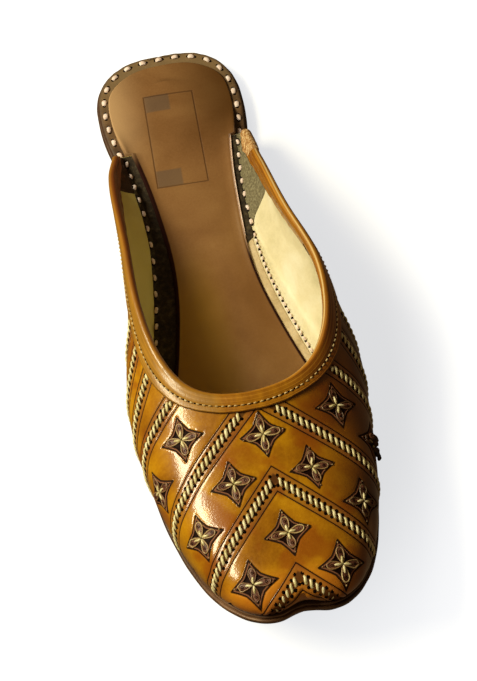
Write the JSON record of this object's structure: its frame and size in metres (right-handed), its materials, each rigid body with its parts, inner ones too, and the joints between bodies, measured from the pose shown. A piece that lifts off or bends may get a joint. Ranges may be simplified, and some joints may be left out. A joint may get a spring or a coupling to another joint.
{
  "type": "slip-on mule shoe",
  "caption": "Flat leather khussa: open-backed shell upper with a folded collar, leather sock on a straight stacked sole, turned-up toe; worn on either foot",
  "frame": {"origin": "on the ground, under the middle of the shoe", "axes": "toe towards -Y, heel towards +Y, up +Z, across the shoe X"},
  "size_m": [0.0834, 0.2538, 0.0461],
  "materials": {
    "sole_leather": "dark brown stacked sole leather, waxed edge",
    "sock_leather": "smooth mid-brown sock leather",
    "upper_leather": "tan mustard burnished leather with a satin gloss",
    "binding_leather": "tan leather folded over the collar"
  },
  "bodies": {
    "root": {"outsole": "sole_leather", "insole": "sock_leather", "upper": "upper_leather", "collar_binding": "binding_leather"}
  },
  "joints": []
}
